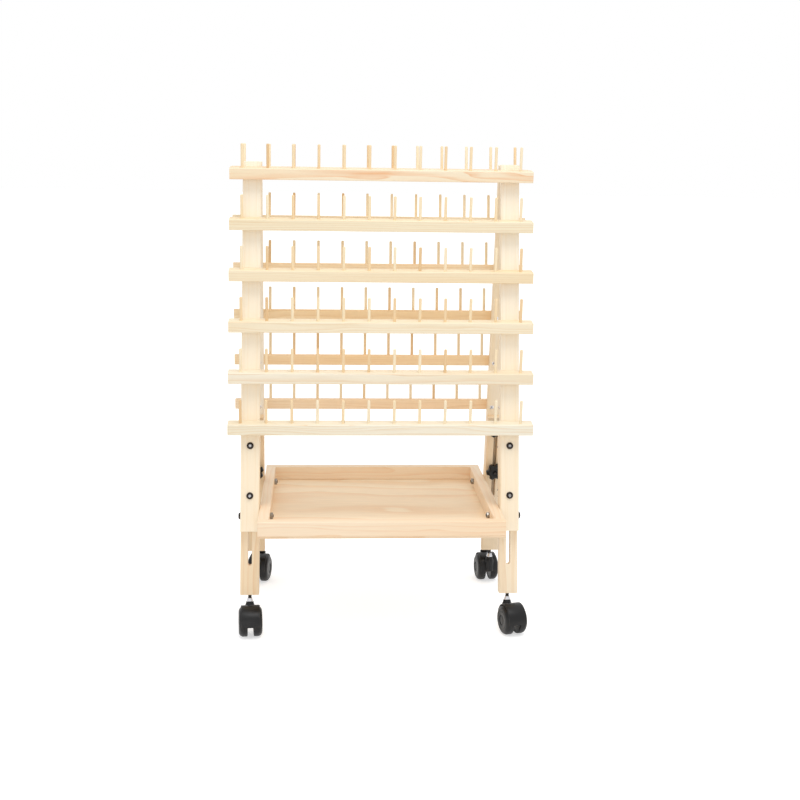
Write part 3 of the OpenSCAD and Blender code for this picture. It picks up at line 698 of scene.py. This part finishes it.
# Wood screws
# Countersunk cross-recessed steel screws, driven from the posts' inner faces: two into each rail
# at each post, and three through each hinge leaf.
SCREW_SPACING = 0.016
RAIL_SCREW_DROP = 0.0099341
HINGE_GAP = 0.003
LEAF_FACE = 0.0018
HINGE_SCREWS = ((-0.0085, -0.017), (0.0085, -0.017), (0, -0.028))
RECESS_ARM = 0.3


def cross(angle):
    """The outline of a cross recess, as a share of its arm's length."""
    off = abs((angle + math.pi / 4) % (math.pi / 2) - math.pi / 4)
    return min(1 / math.cos(off), RECESS_ARM / max(math.sin(off), 1e-6))


def screw_mesh(name, radius, length):
    """A screw along Z, its flat head at the origin."""
    head = radius * 1.9
    return turned(name, [
        (head * 0.22, head * 0.5, cross), (head * 0.52, 0.0001, cross), (head * 0.56, 0.00002, cross),
        (head * 0.95, 0), (head, 0.0001), (radius, radius * 1.2), (radius, length - 2 * radius),
        (radius * 0.15, length)], 32)


for side in SIDES:
    at = panel_frame(side)
    rail_spots = [at @ Vector((sign * POST_HALF_SPREAD + off * SCREW_SPACING / 2, HINGE_GAP,
                               RAIL_FIRST - RAIL_PITCH * row - RAIL_SCREW_DROP))
                  for sign in HANDS.values() for row in range(RAIL_ROWS) for off in (-1, 1)]
    leaf_spots = [at @ Vector((sign * POST_HALF_SPREAD + x, LEAF_FACE, z))
                  for sign in HANDS.values() for x, z in HINGE_SCREWS]
    for name, shape, spots in (
            (f"rail_screws_{side}", screw_mesh("rail_screw", 0.002, 0.030), rail_spots),
            (f"hinge_screws_{side}", screw_mesh("hinge_screw", 0.0013, 0.012), leaf_spots)):
        screws = set_out(name, shape, spots, aim(-inwards(side)), BRIGHT_STEEL, math.pi, 31)
        settle(screws, f"screws_{side}", f"{side}_panel")


# Caster stems
# A dark steel stem driven up into the leg, with a bright coned collar that bears on the hood's
# socket and a plain pivot below it.
HOOD_TOP = 0.0524
STEM_TOP = 0.095
STEM_RADIUS = 0.003
COLLAR_BASE = HOOD_TOP + 0.0003


def caster_frame(side, hand):
    """A caster's own frame: the origin on the floor under its stem, its wheels trailing along +Y."""
    x, y, _ = joints[f"swivel_{side}_{hand}"]["pos_m"]
    across = joints[f"roll_{side}_{hand}_1"]["axis"]
    return Matrix.Translation((x, y, 0)) @ Matrix.Rotation(math.atan2(across[1], across[0]), 4, "Z")


def placed(name, mesh, frame_matrix, material):
    """A piece whose mesh is drawn in its own frame and written out in the stand's."""
    mesh = mesh.copy()
    mesh.transform(frame_matrix)
    return new_piece(name, mesh, material)


CASTERS = [(side, hand) for side in SIDES for hand in HANDS]
STEM = turned("stem", [
    (0.0026, HOOD_TOP - 0.020), (STEM_RADIUS, HOOD_TOP - 0.0195), (STEM_RADIUS, STEM_TOP - 0.001),
    (0.0021, STEM_TOP)], 32)
COLLAR = turned("collar", [
    (STEM_RADIUS - 0.0001, COLLAR_BASE), (0.0054, COLLAR_BASE), (0.0057, COLLAR_BASE + 0.0003),
    (0.0057, COLLAR_BASE + 0.0010), (0.0054, COLLAR_BASE + 0.0014), (0.0041, COLLAR_BASE + 0.0058),
    (0.0037, COLLAR_BASE + 0.0063), (STEM_RADIUS - 0.0001, COLLAR_BASE + 0.0063)], 32, bored=True)
for side, hand in CASTERS:
    for name, mesh, steel, slot in (("stem", STEM, BLACK_STEEL, "black_steel"),
                                    ("collar", COLLAR, BRIGHT_STEEL, "bright_steel")):
        settle(placed(f"{name}_{side}_{hand}", mesh, caster_frame(side, hand), steel),
               f"caster_stem_{side}_{hand}", f"{side}_{hand}_leg")


# Caster hoods
# A black nylon moulding: a thin shell over both wheels with a rolled edge, a web between them that
# holds the steel axle in a boss, and the socket that the stem turns in.
WHEEL_RADIUS = joints["roll_back_right_1"]["pos_m"][2]
TRAIL = 0.024
HOOD_INNER = 0.0258
HOOD_OUTER = 0.0274
HOOD_HALF_WIDTH = 0.016
HOOD_LIP = -math.asin(0.002 / HOOD_OUTER)
HOOD_STEPS = 56
LIP_ROUNDING = 0.0004
WEB_HALF_WIDTH = 0.0045
AXLE_RADIUS = 0.0025
AXLE_BOSS = 0.007
SOCKET_RADIUS = 0.0085
SOCKET_SIDES = 48
EAR_OFFSET = 0.0062
EAR_RADIUS = 0.003
AXLE_FRAME = Matrix.Translation((0, TRAIL, WHEEL_RADIUS)) @ Matrix.Rotation(math.pi / 2, 4, "Y")
LEVER_ANGLE = math.radians(58)
LEVER_RADIUS = 0.030
LEVER_FRAME = Matrix.Translation((0, TRAIL + LEVER_RADIUS * math.cos(LEVER_ANGLE),
                                  WHEEL_RADIUS + LEVER_RADIUS * math.sin(LEVER_ANGLE)))


def joined(name, *meshes):
    """Several closed meshes as one."""
    shape = bmesh.new()
    for mesh in meshes:
        shape.from_mesh(mesh)
    return smooth_mesh(name, shape)


def hood_shell():
    """The shell and its web: one section, turned about the axle from lip to lip."""
    half = [(HOOD_HALF_WIDTH - 0.0011, HOOD_OUTER), (HOOD_HALF_WIDTH - 0.0005, HOOD_OUTER - 0.00015),
            (HOOD_HALF_WIDTH - 0.0001, HOOD_OUTER - 0.0005), (HOOD_HALF_WIDTH, HOOD_OUTER - 0.0009),
            (HOOD_HALF_WIDTH, HOOD_INNER + 0.0002), (HOOD_HALF_WIDTH - 0.0002, HOOD_INNER),
            (WEB_HALF_WIDTH + 0.0008, HOOD_INNER), (WEB_HALF_WIDTH, HOOD_INNER - 0.0008),
            (WEB_HALF_WIDTH, AXLE_BOSS * 0.8)]
    section = half + [(-x, reach) for x, reach in reversed(half)]
    shape = bmesh.new()
    loops = []
    for i in range(HOOD_STEPS + 1):
        angle = HOOD_LIP + (math.pi - 2 * HOOD_LIP) * i / HOOD_STEPS
        loop = []
        for x, reach in section:
            if i in (0, HOOD_STEPS) and reach > HOOD_INNER + 0.0005:
                reach -= LIP_ROUNDING
            loop.append(shape.verts.new((
                x, TRAIL + reach * math.cos(angle), WHEEL_RADIUS + reach * math.sin(angle))))
        loops.append(loop)
    bridge(shape, loops)
    shape.faces.new(loops[0])
    shape.faces.new(reversed(loops[-1]))
    return smooth_mesh("hood_shell", shape, 30)


def socket():
    """The stem's socket. Its foot follows the shell that it grows out of."""
    shape = bmesh.new()
    rings = [(SOCKET_RADIUS, None), (SOCKET_RADIUS, HOOD_TOP - 0.0088),
             (SOCKET_RADIUS - 0.0003, HOOD_TOP - 0.0078), (0.0060, HOOD_TOP - 0.0004),
             (0.0055, HOOD_TOP), (0.0032, HOOD_TOP), (0.0031, HOOD_TOP - 0.0005),
             (0.0031, HOOD_TOP - 0.0114)]
    loops = []
    for radius, height in rings:
        loop = []
        for i in range(SOCKET_SIDES):
            angle = 2 * math.pi * i / SOCKET_SIDES
            x, y = radius * math.cos(angle), radius * math.sin(angle)
            rise = (HOOD_OUTER - 0.0006) ** 2 - (TRAIL - y) ** 2
            foot = WHEEL_RADIUS + math.sqrt(max(rise, 0))
            loop.append(shape.verts.new((x, y, foot if height is None else height)))
        loops.append(loop)
    bridge(shape, loops)
    middle = shape.verts.new((0, 0, HOOD_TOP - 0.0139))
    for i in range(SOCKET_SIDES):
        shape.faces.new((loops[0][(i + 1) % SOCKET_SIDES], loops[0][i], middle))
    shape.faces.new(loops[-1])
    return smooth_mesh("socket", shape, 30)


def lever_ears():
    """The two ears that carry the foot lever's pin."""
    crosswise = Matrix.Rotation(math.pi / 2, 4, "Y")
    lugs = []
    for sign in (-1, 1):
        lug = turned("ear", [(EAR_RADIUS - 0.0002, -0.001), (EAR_RADIUS, -0.0008),
                             (EAR_RADIUS, 0.0008), (EAR_RADIUS - 0.0002, 0.001)], 32)
        lug.transform(Matrix.Translation((sign * EAR_OFFSET, 0, 0)) @ crosswise)
        root = bmesh.new()
        bmesh.ops.create_cube(root, size=1)
        bmesh.ops.scale(root, vec=(0.002, 0.0058, 0.0036), verts=root.verts)
        bmesh.ops.translate(root, vec=(sign * EAR_OFFSET, 0, -0.0018), verts=root.verts)
        bmesh.ops.bevel(root, geom=root.edges[:], offset=0.0002, segments=2, affect="EDGES")
        lugs += [lug, smooth_mesh("ear_root", root)]
    return joined("ears", *lugs)


boss = turned("boss", [
    (AXLE_RADIUS + 0.00005, -WEB_HALF_WIDTH), (AXLE_BOSS - 0.0003, -WEB_HALF_WIDTH),
    (AXLE_BOSS, -WEB_HALF_WIDTH + 0.0003), (AXLE_BOSS, WEB_HALF_WIDTH - 0.0003),
    (AXLE_BOSS - 0.0003, WEB_HALF_WIDTH), (AXLE_RADIUS + 0.00005, WEB_HALF_WIDTH)], 40, bored=True)
boss.transform(AXLE_FRAME)
ears = lever_ears()
ears.transform(LEVER_FRAME @ Matrix.Rotation(LEVER_ANGLE - math.pi / 2, 4, "X"))
plain_hood = joined("plain_hood", hood_shell(), socket(), boss)
braked_hood = joined("braked_hood", plain_hood, ears)
AXLE = turned("axle", [(0.0020, -0.0178), (AXLE_RADIUS, -0.0175), (AXLE_RADIUS, 0.0175),
                       (0.0020, 0.0178)], 24)
AXLE.transform(AXLE_FRAME)
for side, hand in CASTERS:
    hood = braked_hood if side == "back" else plain_hood
    settle(placed(f"hood_{side}_{hand}", hood, caster_frame(side, hand), BLACK_NYLON),
           f"caster_hood_{side}_{hand}", f"{side}_{hand}_caster")
    settle(placed(f"axle_{side}_{hand}", AXLE, caster_frame(side, hand), BRIGHT_STEEL),
           f"caster_hood_{side}_{hand}", f"{side}_{hand}_caster")


# Caster wheels
# Eight nylon wheels with a rounded outer shoulder, a fine groove round the face and a hub cap that
# hides the end of the axle.
WHEEL_SPREAD = 0.0106
SHOULDER = 0.00725
shoulder = [(WHEEL_RADIUS - SHOULDER + SHOULDER * math.cos(a), SHOULDER + SHOULDER * math.sin(a))
            for a in (math.pi / 2 * i / 9 for i in range(10))]
WHEEL = turned("wheel", [
    (AXLE_RADIUS, 0), (0.0070, 0), (0.0072, 0.0008), (0.0215, 0.0008), (0.0217, 0), (0.0238, 0),
    (0.0246, 0.0004), (WHEEL_RADIUS, 0.0013), (WHEEL_RADIUS, 0.0045), (WHEEL_RADIUS - 0.0003, 0.0048),
    (WHEEL_RADIUS - 0.0003, 0.0052), (WHEEL_RADIUS, 0.0055)] + shoulder + [
    (0.0165, 0.0145), (0.0163, 0.0140), (0.0157, 0.0140), (0.0155, 0.0145), (0.0096, 0.0145),
    (0.0091, 0.0143), (0.0089, 0.0134), (0.0081, 0.0131), (0.0078, 0.0136), (0.0060, 0.0140),
    (0.0030, 0.0142)], 72, sharp=30)
for side, hand in CASTERS:
    for number, sign in ((1, -1), (2, 1)):
        wheel_frame = (Matrix.Translation((sign * WHEEL_SPREAD / 2, TRAIL, WHEEL_RADIUS))
                       @ Matrix.Rotation(sign * math.pi / 2, 4, "Y"))
        settle(placed(f"caster_wheel_{side}_{hand}_{number}", WHEEL,
                      caster_frame(side, hand) @ wheel_frame, BLACK_NYLON),
               f"wheel_{side}_{hand}_{number}", f"{side}_{hand}_wheel_{number}")


# Foot brakes
# A short black nylon lever with a ribbed tread on each back caster, held by a pin between the
# hood's two ears.
LEVER_HALF_WIDTH = 0.005
LEVER_THICKNESS = 0.0024
LEVER_LENGTH = 0.013
LEVER_TILT = math.radians(20)
LEVER_ROOT = 0.0028
LEVER_RIBS = 4
RIB_PITCH = 0.0018
RIB_SLOPE = 0.0006
RIB_DEPTH = 0.0004


def lever_mesh():
    """The lever and its pin, standing up from the pin: a round heel and a ribbed tread."""
    half = LEVER_THICKNESS / 2
    heel = [(LEVER_THICKNESS * math.cos(angle), LEVER_THICKNESS * math.sin(angle))
            for angle in (math.radians(v) for v in range(150, 391, 20))]
    ribs = []
    for i in range(LEVER_RIBS):
        z = LEVER_LENGTH - 0.0012 - RIB_PITCH * i
        ribs += [(-half, z + RIB_SLOPE), (-half + RIB_DEPTH, z), (-half + RIB_DEPTH, z - RIB_SLOPE)]
    section = (heel + [(half, LEVER_ROOT), (half, LEVER_LENGTH), (-half, LEVER_LENGTH)]
               + ribs + [(-half, LEVER_ROOT)])
    cos, sin = math.cos(LEVER_TILT), math.sin(LEVER_TILT)
    shape = bmesh.new()
    rims = [[shape.verts.new((x, y * cos + z * sin, z * cos - y * sin)) for y, z in section]
            for x in (-LEVER_HALF_WIDTH, LEVER_HALF_WIDTH)]
    bridge(shape, rims)
    ends = [shape.faces.new(rims[0]), shape.faces.new(reversed(rims[1]))]
    bmesh.ops.recalc_face_normals(shape, faces=shape.faces)
    bmesh.ops.bevel(shape, geom=[e for face in ends for e in face.edges], offset=0.0002, segments=1,
                    affect="EDGES", clamp_overlap=True)
    pin = turned("lever_pin", [(0.0013, -0.007), (0.0015, -0.0068), (0.0015, 0.0068),
                               (0.0013, 0.007)], 24)
    pin.transform(Matrix.Rotation(math.pi / 2, 4, "Y"))
    return joined("brake_lever", smooth_mesh("lever", shape, 30), pin)


LEVER = lever_mesh()
for hand in HANDS:
    settle(placed(f"foot_brake_{hand}", LEVER, caster_frame("back", hand) @ LEVER_FRAME, BLACK_NYLON),
           f"brake_lever_back_{hand}", f"{hand}_brake")


# Floor, light and camera
# A plain pale floor that runs out to a white surround, soft light from a large overhead lamp and
# a front one, and the camera where the photograph was taken from.
AMBIENT = 0.82
FLOOR_GLOW = 0.55
FLOOR_REACH = 20


def seen_directly(tree):
    """One for a ray from the camera or its mirror or glass image, and nothing for other light."""
    path = put(tree, "ShaderNodeLightPath").outputs
    mirrored = sums(tree, "MAXIMUM", path["Is Camera Ray"], path["Is Glossy Ray"])
    return sums(tree, "MAXIMUM", mirrored, path["Is Transmission Ray"])


def pale_floor():
    """A matt floor that a camera sees as nearly white, with the object's shadow on it."""
    material, tree, shader = surface("pale_floor")
    shader.inputs["Base Color"].default_value = (0.8, 0.8, 0.8, 1)
    shader.inputs["Roughness"].default_value = 0.9
    glow = sums(tree, "MULTIPLY", seen_directly(tree), FLOOR_GLOW)
    tree.links.new(glow, shader.inputs["Emission Strength"])
    shader.inputs["Emission Color"].default_value = (1, 1, 1, 1)
    return material


sheet = bpy.data.meshes.new("floor")
sheet.from_pydata([(x * FLOOR_REACH, y * FLOOR_REACH, 0) for x, y in ((-1, -1), (1, -1), (1, 1), (-1, 1))],
                  [], [(0, 1, 2, 3)])
ground = new_piece("floor", sheet, pale_floor())

world = bpy.data.worlds.new("white_surround")
scene.world = world
world.use_nodes = True
tree = world.node_tree
tree.nodes.clear()
strength = sums(tree, "ADD", sums(tree, "MULTIPLY", seen_directly(tree), 1 - AMBIENT), AMBIENT)
sky = put(tree, "ShaderNodeBackground", None, {"Color": (1, 1, 1, 1), "Strength": strength})
put(tree, "ShaderNodeOutputWorld", None, {"Surface": sky.outputs[0]})


def lamp(name, place, target, size, power):
    """A square soft lamp turned to a target."""
    light = bpy.data.lights.new(name, "AREA")
    light.shape = "SQUARE"
    light.size = size
    light.energy = power
    shown = bpy.data.objects.new(name, light)
    scene.collection.objects.link(shown)
    shown.location = place
    shown.rotation_mode = "QUATERNION"
    shown.rotation_quaternion = (Vector(target) - Vector(place)).to_track_quat("-Z", "Y")


lamp("overhead_softbox", (0.3, -1.1, 3.2), (0, 0, 0.4), 1.5, 34)
lamp("front_softbox", (-0.5, -3.4, 0.9), (0, 0, 0.45), 1.8, 9)

PLACE = (-0.1097854, -2.2697545, 0.8312030)
YAW, PITCH, ROLL = 0.0650, 0.1446, 0.0152
FOCAL, MIDDLE_X, MIDDLE_Y, PICTURE = 1297.40, 400.76, 334.10, 800
SENSOR = 36
right = Vector((math.cos(YAW), -math.sin(YAW), 0))
ahead = Vector((math.sin(YAW) * math.cos(PITCH), math.cos(YAW) * math.cos(PITCH), -math.sin(PITCH)))
up = Vector((math.sin(YAW) * math.sin(PITCH), math.cos(YAW) * math.sin(PITCH), math.cos(PITCH)))
rolled_right = math.cos(ROLL) * right + math.sin(ROLL) * up
rolled_up = math.cos(ROLL) * up - math.sin(ROLL) * right
camera = bpy.data.cameras.new("photograph_view")
camera.sensor_width = SENSOR
camera.lens = FOCAL / PICTURE * SENSOR
camera.shift_x = (PICTURE / 2 - MIDDLE_X) / PICTURE
camera.shift_y = (MIDDLE_Y - PICTURE / 2) / PICTURE
viewer = bpy.data.objects.new("photograph_view", camera)
scene.collection.objects.link(viewer)
turned_to_view = Matrix((rolled_right, rolled_up, -ahead)).transposed().to_4x4()
viewer.matrix_world = Matrix.Translation(PLACE) @ turned_to_view
scene.camera = viewer
scene.view_settings.view_transform = "Standard"
